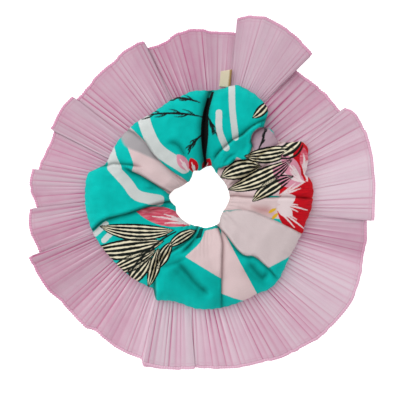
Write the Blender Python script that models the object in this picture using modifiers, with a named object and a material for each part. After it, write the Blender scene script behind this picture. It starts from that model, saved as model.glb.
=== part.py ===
"""A gathered fabric scrunchie with a pleated frill, as the separate pieces it is sewn from.

It lies flat on z = 0. Lengths here are millimetres, and MM turns them into metres where they reach Blender.
Azimuths are degrees, anticlockwise from +X, about the middle of the hole. The scrunchie is placed so that the
origin is at the bottom of the middle of its bounding box.
"""

import math

import bpy
from mathutils import Matrix, Vector

MM = 0.001

# The outlines, each a closed loop of (azimuth, radius). The hole, and the cover's seam line, which bulges at
# each puff of cloth and falls back at each fold.
HOLE_OUTLINE = (
    (0, 15.0), (45, 14.3), (70, 17.0), (90, 13.5), (106, 13.8), (120, 10.2), (140, 10.3), (165, 14.0),
    (180, 15.6), (200, 13.2), (215, 14.2), (268, 14.5), (300, 16.0), (325, 13.6),
)
SEAM_OUTLINE = (
    (5, 56.0), (12, 54.0), (25, 58.0), (34, 49.0), (47, 48.0), (54, 55.5), (73, 57.2), (83, 52.8), (95, 52.5),
    (120, 48.0), (145, 49.2), (160, 49.5), (169, 56.6), (190, 56.2), (210, 53.6), (230, 52.0), (243, 50.8),
    (247, 55.0), (256, 53.0), (275, 55.4), (300, 55.0), (310, 56.4), (325, 53.4), (340, 53.0),
)
# The frill's hemmed edge: (azimuth, radius, height). Raised panels of cloth lie over their neighbours.
FRILL_OUTLINE = (
    (251.3, 89.0, 5.0), (260, 87.6, 4.5), (268.2, 85.3, 4.5), (269.6, 85.4, 2.2), (282, 87.4, 2.2),
    (291, 88.2, 2.2), (297, 90.2, 2.8), (310, 92.2, 3.0), (325, 92.4, 2.6), (337, 88.2, 2.2),
    (350.8, 84.6, 2.2), (352.2, 87.7, 5.0), (370, 88.5, 5.0), (380, 89.7, 5.0), (388, 88.5, 5.0),
    (391.6, 85.2, 5.0), (393.2, 82.2, 2.4), (405, 80.6, 2.4), (411, 80.0, 3.0), (412.4, 91.2, 9.0),
    (425, 95.8, 10.0), (433, 95.6, 10.0), (438.2, 92.0, 9.0), (439.6, 84.2, 3.0), (446, 83.3, 2.2),
    (451, 84.5, 2.2), (458, 83.0, 2.2), (466, 79.2, 2.2), (468.6, 79.3, 2.2), (470, 83.2, 4.4),
    (478, 82.6, 4.0), (488, 80.5, 2.6), (499, 79.0, 2.4), (503, 81.6, 3.4), (515, 82.3, 3.4),
    (517, 80.3, 2.4), (529, 82.2, 2.4), (531, 85.2, 3.6), (539, 84.8, 3.4), (543, 82.0, 2.4),
    (545, 86.0, 3.8), (558, 85.2, 3.0), (560, 90.4, 4.6), (572, 89.0, 3.6), (577, 86.8, 2.4),
    (589, 86.6, 2.2), (610.3, 86.0, 2.2),
)

# The cover.
COVER_WALL = 0.8
COVER_STEPS = 60
COVER_HEIGHT = 22.0
FOLD_DEPTH = 4.0
SHALLOWEST_SEAM_RADIUS = 48.0
DEEPEST_SEAM_RADIUS = 58.0
INNER_ROLL = 10.0
UNDER_ROLL = 14.0
SEAM_HEIGHT = 9.0
SEAM_ALLOWANCE = 6.0
LIP_RADIUS = 1.3
# The seam's thread runs this far out from the allowance's edge.
SEAM_LINE = 1.5
# The closing stitches leave out this many points at either end of the cover's section, by its lips.
LOWER_LIP_POINTS = 7
UPPER_LIP_POINTS = 6
# The frill.
FRILL_THICKNESS = 0.7
FRILL_HALF_PLEATS = 180
PLEAT_DEPTH = 0.7
# The flat stretch past the seam, and where the pleats' rows of points lie between it and the hem.
FRILL_FLAT = 0.5
PLEAT_ROWS = (0.4, 1.0)
# Where the hem turns sharply, its inner line is moved at most 1 / this many times the distance asked for.
SHARPEST_TURN = 0.6
HEM_DIAMETER = 1.0
# The elastic, a flat strip whose ends overlap.
ELASTIC_RADIUS = 26.0
ELASTIC_WIDTH = 6.0
ELASTIC_THICKNESS = 1.0
ELASTIC_HEIGHT = 10.0
ELASTIC_JOIN_AZIMUTH = 243.0
ELASTIC_OVERLAP = 26.0
ELASTIC_STEPS = 48
# The bar tack: its stitches, how far they stay from the strip's edges, and its place along the overlap.
TACK_STITCHES = 12
TACK_MARGIN = 1.0
TACK_START = 0.15
TACK_LENGTH = 0.7
# Threads.
THREAD_DIAMETER = 0.5
GAP = 0.35
# The label, a strip folded in half and caught in the seam by its ends.
LABEL_AZIMUTH = 77.5
LABEL_DIRECTION = 84.0
LABEL_RADIUS = 57.4
LABEL_LENGTH = 7.6
LABEL_WIDTH = 5.6
LABEL_CLOTH = 0.35
LABEL_LAYER_PITCH = 0.7
LABEL_SLOPE = 3.0
LABEL_CLEARANCE = 0.6


def clear_scene():
    for obj in list(bpy.data.objects):
        bpy.data.objects.remove(obj, do_unlink=True)


def polar(radius, azimuth, height):
    """The point in millimetres, about the middle of the hole."""
    angle = math.radians(azimuth)
    return Vector((radius * math.cos(angle), radius * math.sin(angle), height))


def read_outline(outline, azimuth):
    """The outline's radius, and its height where it has one, straight between its points."""
    start = outline[0][0]
    azimuth = start + (azimuth - start) % 360
    loop = outline + ((start + 360,) + tuple(outline[0][1:]),)
    for before, after in zip(loop, loop[1:]):
        if azimuth <= after[0]:
            share = (azimuth - before[0]) / (after[0] - before[0])
            return [a + share * (b - a) for a, b in zip(before[1:], after[1:])]
    return list(outline[0][1:])


def arc(centre, radii, first, last, steps):
    """Points in (radius, height) along an elliptical arc, angles in degrees."""
    points = []
    for step in range(steps + 1):
        angle = math.radians(first + (last - first) * step / steps)
        points.append((centre[0] + radii[0] * math.cos(angle), centre[1] + radii[1] * math.sin(angle)))
    return points


def cover_section(azimuth):
    """The middle of the cover's cloth at this azimuth, from its lower seam allowance round to its upper one."""
    hole = read_outline(HOLE_OUTLINE, azimuth)[0] + COVER_WALL / 2
    seam = read_outline(SEAM_OUTLINE, azimuth)[0] - COVER_WALL / 2
    puff = (seam - SHALLOWEST_SEAM_RADIUS) / (DEEPEST_SEAM_RADIUS - SHALLOWEST_SEAM_RADIUS)
    top = COVER_HEIGHT - FOLD_DEPTH * (1 - puff) - COVER_WALL / 2
    bottom = COVER_WALL / 2
    lower_lip = SEAM_HEIGHT - LIP_RADIUS
    upper_lip = SEAM_HEIGHT + LIP_RADIUS
    allowance = seam - SEAM_ALLOWANCE
    lip_centre = seam - LIP_RADIUS
    points = [(allowance, lower_lip)]
    points += arc((lip_centre, lower_lip - LIP_RADIUS), (LIP_RADIUS, LIP_RADIUS), 90, 0, 3)
    under_edge = seam - UNDER_ROLL
    points += arc((under_edge, lower_lip - LIP_RADIUS), (UNDER_ROLL, lower_lip - LIP_RADIUS - bottom), 0, -90, 4)[1:]
    roll_centre = (hole + INNER_ROLL, (bottom + top) / 2)
    points += arc(roll_centre, (INNER_ROLL, (top - bottom) / 2), 270, 90, 8)
    dome_width = seam - roll_centre[0]
    dome_base = upper_lip + LIP_RADIUS
    points += arc((roll_centre[0], dome_base), (dome_width, top - dome_base), 90, 0, 6)[1:]
    points += arc((lip_centre, dome_base), (LIP_RADIUS, LIP_RADIUS), 0, -90, 3)[1:]
    points.append((allowance, upper_lip))
    return points


def frill_azimuths():
    """The azimuth of each crest and valley of the pleats, from one end of the strip to the other."""
    first = FRILL_OUTLINE[0][0]
    last = FRILL_OUTLINE[-1][0]
    return [first + (last - first) * step / FRILL_HALF_PLEATS for step in range(FRILL_HALF_PLEATS + 1)]


def hem_line():
    """The middle of the hem's thread at each crest and valley."""
    points = []
    for azimuth in frill_azimuths():
        radius, height = read_outline(FRILL_OUTLINE, azimuth)
        points.append(polar(radius - HEM_DIAMETER / 2, azimuth, height))
    return points


def inside_of(line, distance):
    """The line moved this far towards the hole, square to its own run in plan."""
    moved = []
    for i, here in enumerate(line):
        before = (here - line[i - 1]).xy.normalized() if i else None
        after = (line[i + 1] - here).xy.normalized() if i + 1 < len(line) else None
        first = before or after
        along = (first + (after or first)).normalized()
        inward = Vector((-along.y, along.x, 0))
        reach = distance / max(along.dot(first), SHARPEST_TURN)
        moved.append(here + inward * reach)
    return moved


def box_middle():
    """The middle of the bounding box in plan, about the middle of the hole."""
    hem = hem_line()
    return [(min(point[i] for point in hem) + max(point[i] for point in hem)) / 2 for i in (0, 1)]


def link(name, data, collection, parent):
    obj = bpy.data.objects.new(name, data)
    collection.objects.link(obj)
    obj.parent = parent
    return obj


def sheet_mesh(name, rows, closed):
    """A quad surface through rows of points in millimetres; closed joins the last row to the first."""
    across = len(rows[0])
    points = [point * MM for row in rows for point in row]
    pairs = [(i, (i + 1) % len(rows)) for i in range(len(rows) if closed else len(rows) - 1)]
    faces = [
        (a * across + i, b * across + i, b * across + i + 1, a * across + i + 1)
        for a, b in pairs
        for i in range(across - 1)
    ]
    mesh = bpy.data.meshes.new(name)
    mesh.from_pydata(points, [], faces)
    mesh.shade_smooth()
    return mesh


def thicken(obj, thickness):
    solidify = obj.modifiers.new("Thickness", "SOLIDIFY")
    solidify.thickness = thickness * MM
    solidify.offset = 0
    solidify.use_even_offset = True


def wire_curve(name, points, diameter, closed):
    """A round thread through points in millimetres."""
    curve = bpy.data.curves.new(name, "CURVE")
    curve.dimensions = "3D"
    curve.bevel_depth = diameter / 2 * MM
    curve.bevel_resolution = 1
    curve.use_fill_caps = not closed
    spline = curve.splines.new("POLY")
    spline.points.add(len(points) - 1)
    for spot, point in zip(spline.points, points):
        spot.co = (*(point * MM), 1)
    spline.use_cyclic_u = closed
    return curve


def cloth_material(name, colour, roughness):
    material = bpy.data.materials.new(name)
    material.use_nodes = True
    shader = material.node_tree.nodes["Principled BSDF"]
    shader.inputs["Base Color"].default_value = (*colour, 1)
    shader.inputs["Roughness"].default_value = roughness
    shader.inputs["Metallic"].default_value = 0
    return material


def make_cover():
    """The printed strip, sewn into a tube with its seam on the outside, and closed into a ring."""
    rows = []
    for step in range(COVER_STEPS):
        azimuth = 360 * step / COVER_STEPS
        rows.append([polar(radius, azimuth, height) for radius, height in cover_section(azimuth)])
    return sheet_mesh("fabric_cover", rows, closed=True)


def make_frill():
    """The pleated strip: flat between the cover's seam allowances, and ever deeper pleats out to its hem."""
    edges = inside_of(hem_line(), HEM_DIAMETER / 2 + GAP)
    rows = []
    for step, (azimuth, edge) in enumerate(zip(frill_azimuths(), edges)):
        seam = read_outline(SEAM_OUTLINE, azimuth)[0]
        start = polar(seam + FRILL_FLAT, azimuth, SEAM_HEIGHT)
        side = 1 if step % 2 else -1
        row = [polar(seam - SEAM_ALLOWANCE, azimuth, SEAM_HEIGHT), start]
        for share in PLEAT_ROWS:
            row.append(start.lerp(edge, share) + Vector((0, 0, side * share * PLEAT_DEPTH)))
        rows.append(row)
    return sheet_mesh("pleated_frill", rows, closed=False)


def make_hem_thread():
    """The overlocked edge of the frill, as one cord of thread just outside it."""
    return wire_curve("frill_hem_thread", hem_line(), HEM_DIAMETER, closed=False)


def make_seam_thread():
    """The lockstitch line, lying on the upper seam allowance inside the tube."""
    height = SEAM_HEIGHT + LIP_RADIUS + COVER_WALL / 2 + GAP + THREAD_DIAMETER / 2
    points = []
    for step in range(COVER_STEPS):
        azimuth = 360 * step / COVER_STEPS
        radius = read_outline(SEAM_OUTLINE, azimuth)[0] - SEAM_ALLOWANCE + SEAM_LINE
        points.append(polar(radius, azimuth, height))
    return wire_curve("seam_thread", points, THREAD_DIAMETER, closed=True)


def make_closing_stitches():
    """The thread that closes the ring, round the inside of the tube under the cover's lapped end."""
    section = cover_section(ELASTIC_JOIN_AZIMUTH)[LOWER_LIP_POINTS:-UPPER_LIP_POINTS]
    inset = COVER_WALL / 2 + GAP + THREAD_DIAMETER / 2
    points = []
    for before, here, after in zip(section, section[1:], section[2:]):
        along = (Vector(after) - Vector(before)).normalized()
        inward = Vector((along.y, -along.x))
        radius, height = Vector(here) + inward * inset
        points.append(polar(radius, ELASTIC_JOIN_AZIMUTH, height))
    return wire_curve("closing_stitches", points, THREAD_DIAMETER, closed=False)


def elastic_radius(azimuth):
    """The strip spirals outwards, so that its last stretch laps over its first."""
    turned = (azimuth - ELASTIC_JOIN_AZIMUTH) / 360
    return ELASTIC_RADIUS + turned * (ELASTIC_THICKNESS + GAP)


def make_elastic():
    rows = []
    for step in range(ELASTIC_STEPS + 1):
        azimuth = ELASTIC_JOIN_AZIMUTH + (360 + ELASTIC_OVERLAP) * step / ELASTIC_STEPS
        radius = elastic_radius(azimuth)
        low = ELASTIC_HEIGHT - ELASTIC_WIDTH / 2
        rows.append([polar(radius, azimuth, low), polar(radius, azimuth, low + ELASTIC_WIDTH)])
    return sheet_mesh("elastic_band", rows, closed=False)


def make_elastic_stitches():
    """A zigzag bar tack on the outside of the elastic's overlapped ends."""
    reach = ELASTIC_WIDTH / 2 - TACK_MARGIN
    points = []
    for stitch in range(TACK_STITCHES):
        share = (stitch + 0.5) / TACK_STITCHES
        azimuth = ELASTIC_JOIN_AZIMUTH + 360 + ELASTIC_OVERLAP * (TACK_START + TACK_LENGTH * share)
        radius = elastic_radius(azimuth) + ELASTIC_THICKNESS / 2 + GAP + THREAD_DIAMETER / 2
        side = reach if stitch % 2 else -reach
        points.append(polar(radius, azimuth, ELASTIC_HEIGHT + side))
    return wire_curve("elastic_join_stitches", points, THREAD_DIAMETER, closed=False)


def make_label():
    """The folded label in its own frame: +X out from the seam, +Y along the seam, hinged on the Y axis."""
    half_pitch = LABEL_LAYER_PITCH / 2
    fold = arc((LABEL_LENGTH - half_pitch, 0), (half_pitch, half_pitch), -90, 90, 6)
    path = [(0, -half_pitch), (LABEL_LENGTH / 2, -half_pitch)] + fold
    path += [(LABEL_LENGTH / 2, half_pitch), (0, half_pitch)]
    half_width = LABEL_WIDTH / 2
    rows = [[Vector((out, side, up)) for out, up in path] for side in (-half_width, half_width)]
    return sheet_mesh("woven_label", rows, closed=False)


def build():
    clear_scene()
    pieces = bpy.data.collections.new("scrunchie")
    bpy.context.scene.collection.children.link(pieces)
    middle = box_middle()
    ring = link("ring_middle", None, pieces, None)
    ring.location = (-middle[0] * MM, -middle[1] * MM, 0)

    teal = (0.002, 0.515, 0.445)
    pink = (0.63, 0.40, 0.51)
    made = (
        (make_cover(), COVER_WALL, cloth_material("printed_cotton", teal, 0.8)),
        (make_frill(), FRILL_THICKNESS, cloth_material("pleated_voile", pink, 0.75)),
        (make_hem_thread(), 0, cloth_material("hem_thread", (0.60, 0.22, 0.37), 0.6)),
        (make_seam_thread(), 0, cloth_material("seam_thread", (0.01, 0.40, 0.36), 0.6)),
        (make_closing_stitches(), 0, cloth_material("closing_thread", (0.02, 0.36, 0.33), 0.6)),
        (make_elastic(), ELASTIC_THICKNESS, cloth_material("elastic", (0.82, 0.82, 0.78), 0.85)),
        (make_elastic_stitches(), 0, cloth_material("elastic_thread", (0.75, 0.74, 0.70), 0.6)),
        (make_label(), LABEL_CLOTH, cloth_material("label_tape", (0.75, 0.64, 0.46), 0.7)),
    )
    for data, thickness, material in made:
        data.materials.append(material)
        obj = link(data.name, data, pieces, ring)
        if thickness:
            thicken(obj, thickness)

    label = bpy.data.objects["woven_label"]
    height = SEAM_HEIGHT + FRILL_THICKNESS / 2 + LABEL_CLEARANCE + (LABEL_LAYER_PITCH + LABEL_CLOTH) / 2
    label.location = polar(LABEL_RADIUS, LABEL_AZIMUTH, height) * MM
    turn = Matrix.Rotation(math.radians(LABEL_DIRECTION), 3, "Z")
    slope = Matrix.Rotation(math.radians(-LABEL_SLOPE), 3, "Y")
    label.rotation_euler = (turn @ slope).to_euler()


build()
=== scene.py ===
"""The looks of a gathered cotton scrunchie with a pleated frill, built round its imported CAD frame.

Lengths here are millimetres about the middle of the scrunchie's hole, and azimuths are degrees,
anticlockwise from +X. to_world() turns them into the frame's metres.
"""

import math

import bpy
import numpy as np
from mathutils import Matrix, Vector


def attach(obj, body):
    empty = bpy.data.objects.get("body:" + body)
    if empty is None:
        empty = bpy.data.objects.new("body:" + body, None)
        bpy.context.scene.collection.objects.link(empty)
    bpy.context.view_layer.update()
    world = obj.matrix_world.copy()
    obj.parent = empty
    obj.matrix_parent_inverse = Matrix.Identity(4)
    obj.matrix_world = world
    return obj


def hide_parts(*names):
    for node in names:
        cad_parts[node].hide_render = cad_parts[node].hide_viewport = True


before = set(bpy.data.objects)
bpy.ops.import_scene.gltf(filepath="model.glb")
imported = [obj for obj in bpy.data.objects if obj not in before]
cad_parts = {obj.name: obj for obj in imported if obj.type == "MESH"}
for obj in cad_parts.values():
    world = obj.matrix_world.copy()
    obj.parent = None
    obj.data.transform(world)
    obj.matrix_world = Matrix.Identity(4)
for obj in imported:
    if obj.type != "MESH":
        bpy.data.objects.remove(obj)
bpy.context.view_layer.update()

MM = 0.001
HOLE_CENTRE = np.array((-1.36, -2.56, 0.0))

# ---- outlines
# The edge of the hole, and the edge of the gathered cover seen from above: (azimuth, radius).
HOLE_OUTLINE = (
    (0, 15), (20, 14.6), (45, 14.3), (58, 15), (70, 17.1), (80, 15.5), (90, 13.5), (104, 13.8), (112, 11.2),
    (122, 9.8), (140, 10.2), (152, 11.2), (164, 13.8), (177, 15.7), (187, 15), (200, 13), (213, 14.2),
    (240, 14.3), (268, 14.5), (280, 15.6), (300, 16), (307, 16), (318, 13.9), (330, 13.5), (345, 14.2),
)
COVER_OUTLINE = (
    (4, 56.6), (9, 56), (12.5, 53.2), (16, 55.6), (25, 59.2), (28.5, 58.6), (31, 53.2), (33.5, 49),
    (37, 47.6), (43, 49.2), (46.5, 48), (48.5, 46.4), (50.5, 53.5), (54, 56.4), (62, 58.2), (72, 59.1),
    (76, 56.6), (80, 54.4), (85, 53.3), (94, 53.2), (100, 51.3), (106, 50.8), (112, 49.2), (120, 48),
    (130, 49), (145, 49.5), (160, 49.5), (163.5, 52), (167, 56.6), (170, 57.4), (185, 57.2), (197, 56.2),
    (205, 55), (215, 53.4), (230, 52.3), (243.6, 50.7), (245, 53.5), (246.6, 55.8), (250, 54.4),
    (255, 53.2), (260, 53.5), (268, 55.4), (277, 55.9), (292, 55.7), (301, 55.6), (307, 57.2), (313, 56.8),
    (320, 54.8), (326, 53.3), (338, 53.3), (341, 54.1), (346, 53.8), (354, 55.6),
)
# A curve turning by more than this many degrees at one of its points has a corner there.
CORNER = 52
# The outlines are read at steps of this many degrees, and softened over this many.
OUTLINE_STEP = 0.25
OUTLINE_SOFTNESS = 0.8
BELL_REACH = 12


def to_world(points):
    return (np.asarray(points, float) + HOLE_CENTRE) * MM


def polar(radius, azimuth):
    angle = np.radians(azimuth)
    return np.stack([radius * np.cos(angle), radius * np.sin(angle)], axis=-1)


def bell(step, softness):
    """A Gaussian's weights, which add up to 1, for BELL_REACH steps each way."""
    weights = np.exp(-0.5 * (np.arange(-BELL_REACH, BELL_REACH + 1) * step / softness) ** 2)
    return weights / weights.sum()


def read_loop(outline, azimuths):
    """The outline's radius at each azimuth, with its corners softened by a degree or so."""
    fine = np.arange(0, 360, OUTLINE_STEP)
    dense = np.interp(fine, *np.array(outline).T, period=360)
    weights = bell(OUTLINE_STEP, OUTLINE_SOFTNESS)
    soft = sum(w * np.roll(dense, k - BELL_REACH) for k, w in enumerate(weights))
    return np.interp(azimuths, fine, soft, period=360)


def smooth_step(low, high, value):
    share = np.clip((value - low) / (high - low), 0, 1)
    return share * share * (3 - 2 * share)


def is_corner(before, here, after):
    """Whether a curve turns so sharply at a point that it has a corner there."""
    first, second = here - before, after - here
    return first @ second < math.cos(math.radians(CORNER)) * np.hypot(*first) * np.hypot(*second)


def curve_through(points, closed=False, steps=5):
    """A Catmull-Rom curve through plan points, as a fine polyline that keeps its sharp corners."""
    p = np.array(points, float)
    if closed:
        p = np.concatenate([p[-1:], p, p[:2]])
    else:
        p = np.concatenate([2 * p[:1] - p[1:2], p, 2 * p[-1:] - p[-2:-1]])
    out = []
    for a, b, c, d in zip(p, p[1:], p[2:], p[3:]):
        a, d = (2 * b - c if is_corner(a, b, c) else a), (2 * c - b if is_corner(b, c, d) else d)
        for t in np.arange(steps) / steps:
            out.append(0.5 * (2 * b + (c - a) * t + (2 * a - 5 * b + 4 * c - d) * t**2
                              + (3 * b - a - 3 * c + d) * t**3))
    out.append(out[0] if closed else p[-2])
    return np.array(out)


def nearest_on(line, xy):
    """How far each plan point is from a polyline, +1 if it is on its left or -1 on its right, how far along
    it, and the polyline's own length."""
    best = np.full(len(xy), 1e9)
    side = np.ones(len(xy))
    run = np.zeros(len(xy))
    passed = 0.0
    for a, b in zip(line, line[1:]):
        along = b - a
        length = float(np.hypot(*along))
        if length < 1e-9:
            continue
        off = xy - a
        t = np.clip(off @ along / length**2, 0, 1)
        gap = off - t[:, None] * along
        distance = np.hypot(gap[:, 0], gap[:, 1])
        near = distance < best
        best[near] = distance[near]
        side[near] = np.sign(along[0] * off[near, 1] - along[1] * off[near, 0])
        run[near] = passed + t[near] * length
        passed += length
    return best, side, run, passed


def inside_loop(loop, xy):
    """Which plan points lie inside a closed polyline."""
    inside = np.zeros(len(xy), bool)
    for a, b in zip(loop, loop[1:]):
        if a[1] == b[1]:
            continue
        crosses = (a[1] > xy[:, 1]) != (b[1] > xy[:, 1])
        inside ^= crosses & (xy[:, 0] < a[0] + (b[0] - a[0]) * (xy[:, 1] - a[1]) / (b[1] - a[1]))
    return inside


def near_box(line, xy, margin):
    """Indices of the plan points within margin of the polyline's own box."""
    low, high = line.min(axis=0) - margin, line.max(axis=0) + margin
    return np.nonzero(((xy > low) & (xy < high)).all(axis=1))[0]


def lattice_noise(seed, across, along, columns, rows):
    """Smooth noise, mostly from -1 to 1, on a grid that closes on itself along its first side."""
    rng = np.random.default_rng(seed)
    knots = rng.uniform(-1, 1, (across, along + 3))
    u = np.arange(columns) * across / columns
    v = np.linspace(0, along, rows)
    i = np.floor(u).astype(int)
    j = np.minimum(np.floor(v).astype(int), along - 1)

    def weights(t):
        return np.stack([(1 - t) ** 3, 3 * t**3 - 6 * t**2 + 4, -3 * t**3 + 3 * t**2 + 3 * t + 1, t**3]) / 6

    wu, wv = weights(u - i), weights(v - j)
    total = np.zeros((columns, rows))
    for a in range(4):
        for b in range(4):
            total += wu[a][:, None] * wv[b][None, :] * knots[np.ix_((i + a) % across, j + b)]
    return total * 1.6


def put_in_scene(name, data):
    obj = bpy.data.objects.new(name, data)
    bpy.context.scene.collection.objects.link(obj)
    return obj


def cloth_piece(name, points, material, fields, thickness=None, closed=False):
    """A quad surface on a grid of points (columns, rows, 3) in millimetres, with its material, the fields
    that the material reads at each point, and its thickness. closed joins the last column to the first."""
    columns, rows = points.shape[:2]
    index = np.arange(columns * rows).reshape(columns, rows)
    here = index if closed else index[:-1]
    there = np.roll(index, -1, axis=0) if closed else index[1:]
    quads = np.stack([here[:, :-1], there[:, :-1], there[:, 1:], here[:, 1:]], axis=-1).reshape(-1, 4)
    mesh = bpy.data.meshes.new(name)
    mesh.from_pydata(to_world(points.reshape(-1, 3)).tolist(), [], quads.tolist())
    mesh.shade_smooth()
    mesh.materials.append(material)
    for field, values in fields.items():
        kind, key = ("FLOAT_VECTOR", "vector") if field == "cloth" else ("FLOAT", "value")
        values = np.ascontiguousarray(values, np.float32).ravel()
        mesh.attributes.new(field, kind, "POINT").data.foreach_set(key, values)
    obj = put_in_scene(name, mesh)
    if thickness:
        solidify = obj.modifiers.new("Cloth thickness", "SOLIDIFY")
        solidify.thickness = thickness * MM
        solidify.offset = 0
    return obj


def cloth_vectors(across, along):
    """Places on the flat cloth, in millimetres, as vectors with a third value of 0."""
    across, along = np.broadcast_arrays(across, along)
    return np.stack([across, along, np.zeros_like(across)], axis=-1)


# ---- cover
COVER_COLUMNS = 600
SEAM_HEIGHT = 9.0
SEAM_SET_IN = 1.4
LIP_GAP = 0.55
ALLOWANCE = 4.0
BULGE_HEIGHT = 12.0
HOLE_EDGE_HEIGHT = 11.0
COVER_BOTTOM = 0.3
COVER_CLOTH = 0.35
CROWN = 20.6
LOWEST_POINT = 0.2
# The top's section is a superellipse of this power. Its points are even at this half-width and rise.
TOP_POWER = 2.35
TOP_POINTS = 78
TOP_HALF_WIDTH = 20
TOP_RISE = 9
# How far the cloth rolls under at the hole and at the seam.
HOLE_ROLL = 9
SEAM_ROLL = 12
# Under the ring the print turns by this many degrees over this run, and reaches this far out.
PRINT_TURN = 97
PRINT_TURN_RUN = 26
PRINT_REACH = 56
HOLE_GATHERS = 44
SEAM_PUCKERS = 86
# How far from an overlapping fold's curve its edge has fully risen.
FOLD_EDGE = 1.3
# Dips of the ring's crown where the cloth is gathered into a fold: (azimuth, depth, half-width in degrees).
CROWN_DIPS = (
    (88, 0.8, 6), (47, 1.6, 7), (8, 1, 8), (343, 1.4, 9), (318, 1.2, 7), (281, 0.8, 7), (205, 1.6, 9),
    (162, 2, 7), (136, 0.9, 8),
)
# Folds of the cover, as curves in plan. In "over", the cloth on the curve's left lies over the cloth on its
# right; "valley" is a crease with cloth rising on both sides. Then come the depth and the half-width.
FOLDS = (
    ("valley", 4.6, 2, ((6.6, 58), (5, 52), (3.6, 47), (2.7, 42), (2, 36), (1.8, 30), (2, 24), (2.3, 17),
        (2.4, 8))),
    ("over", 3.6, 3.2, ((40, 41), (34, 38.9), (32, 38), (28.2, 36.4), (24, 33.5), (20.7, 30.6),
        (16.6, 28.5), (13.2, 25.6), (10.8, 23.5), (8.3, 20.6), (6.5, 16.5))),
    ("over", 3.2, 2.4, ((6, 13), (9, 14.4), (11.5, 15), (13.8, 15.7), (15.4, 16.9), (17.2, 18.6),
        (19.4, 18.6), (22.2, 18.4), (24.2, 20.8), (25.3, 23.6), (25.5, 26), (25, 28), (27, 32.7),
        (33, 35.8), (40, 38))),
    ("valley", 1.6, 1, ((10.2, 14), (12, 17.2), (14.4, 20.2), (17.8, 21.6), (20, 21.6))),
    ("valley", 1.6, 1.3, ((13, 3), (15.6, 6.4), (18.6, 8), (21, 10.2), (25, 12), (27.8, 14.6), (30, 17.2),
        (34.6, 17))),
    ("valley", 3, 1.5, ((14, 4), (19, 7.8), (24, 11), (28.5, 15), (31.5, 15.3), (37, 18.5))),
    ("over", 2.6, 2.2, ((46, 31), (40.2, 26.8), (36.5, 24.8), (31, 21.4), (27.3, 17.7), (22, 14))),
    ("over", 2.6, 2.4, ((58, -1), (48, -0.4), (41.8, 0), (32, -0.4), (24, 0), (16.5, 0.5), (8, 0))),
    ("over", 1.2, 2.4, ((62, -22.5), (50.6, -18.6), (44.8, -15.3), (36.5, -11.6), (31.5, -9.5), (24.9, -7),
        (19.9, -6.2), (11.6, -7.4), (8, -8.5), (0, -10))),
    ("over", 2.6, 2.4, ((4, -10), (10.3, -15.7), (13.2, -18.6), (17.4, -24.4), (20.7, -27.7), (24, -29),
        (26.5, -29), (29, -30.2), (31.5, -32.7), (34, -34.8), (37, -38), (40, -42))),
    ("valley", 2.4, 2.2, ((22.5, -30), (24.5, -32.5), (28, -37), (31, -40), (36, -36))),
    ("over", 2.2, 2.4, ((10.2, -62), (10.3, -55), (10.5, -41), (10.75, -28.6), (10.96, -22.3), (9.3, -15.3),
        (8, -8))),
    ("valley", 2.6, 2, ((-12, -30.5), (-10.9, -32), (-6.4, -37.3), (-2, -42.7), (2.5, -46.7), (6, -50))),
    ("over", 3.6, 2.8, ((2, -8), (-0.6, -14.1), (-2.4, -18.6), (-7.3, -23), (-13.1, -26.6), (-20, -31.5),
        (-22.05, -35), (-22.05, -41), (-22.05, -51.6), (-22.05, -60))),
    ("valley", 3, 1.3, ((0.5, -15), (-0.8, -18), (-2.4, -20.4), (-5, -23.6), (-8, -26.6), (-10.6, -28.8))),
    ("valley", 1.4, 1.6, ((-5, -28.5), (-8, -30.4), (-11, -31.8), (-16, -33.6), (-21, -35.4))),
    ("over", 3.8, 3.2, ((-62, -21), (-53.75, -15.9), (-50.2, -12.8), (-46.6, -10.5), (-41.25, -9),
        (-35, -7.4), (-28.75, -5.2), (-22.9, -3.4), (-16.25, -1.8), (-8, -1))),
    ("valley", 1.8, 1.2, ((-30, -8.8), (-26, -7.2), (-21, -5.3), (-16, -4.2), (-12.5, -5.5))),
    ("over", 2.8, 2.4, ((-27, 14.5), (-31.7, 15.3), (-35.5, 15.9), (-39.7, 16.3), (-43.2, 16.5),
        (-47, 15.5), (-56, 15))),
    ("over", 3, 2.6, ((-40, 15.5), (-36, 14.5), (-33.6, 13), (-29.4, 11.3), (-24, 7.9), (-18.7, 4.8),
        (-15, 3), (-8, 0))),
    ("valley", 1.2, 1.1, ((-29, 6.5), (-26, 4.5), (-23, 4.5), (-19, 2))),
    ("over", 1.8, 2.6, ((-41, 39), (-35.5, 33.9), (-32.4, 32.3), (-29.4, 30), (-27.1, 28.1), (-24.8, 24.7),
        (-22.5, 20.9), (-19.4, 17.8), (-16.8, 15.5), (-14.1, 13.2), (-10.6, 10.5), (-6.4, 8), (-2, 5))),
    # The three broad shallow valleys here also paint a broad shade over the lower slopes of their puffs.
    ("valley", 1.4, 5, ((-16, -34), (-10, -39), (-5, -44), (0, -48), (4, -52))),
    ("valley", 1.3, 4.5, ((8, -57), (8.5, -50), (9, -42), (9.5, -34))),
    ("valley", 1.4, 4, ((20, -32), (25, -38), (30, -42), (36, -44))),
    ("valley", 2.2, 1.6, ((-18, 25.8), (-14, 27), (-10.6, 25.8), (-8.3, 22.4), (-6, 17))),
)


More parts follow.
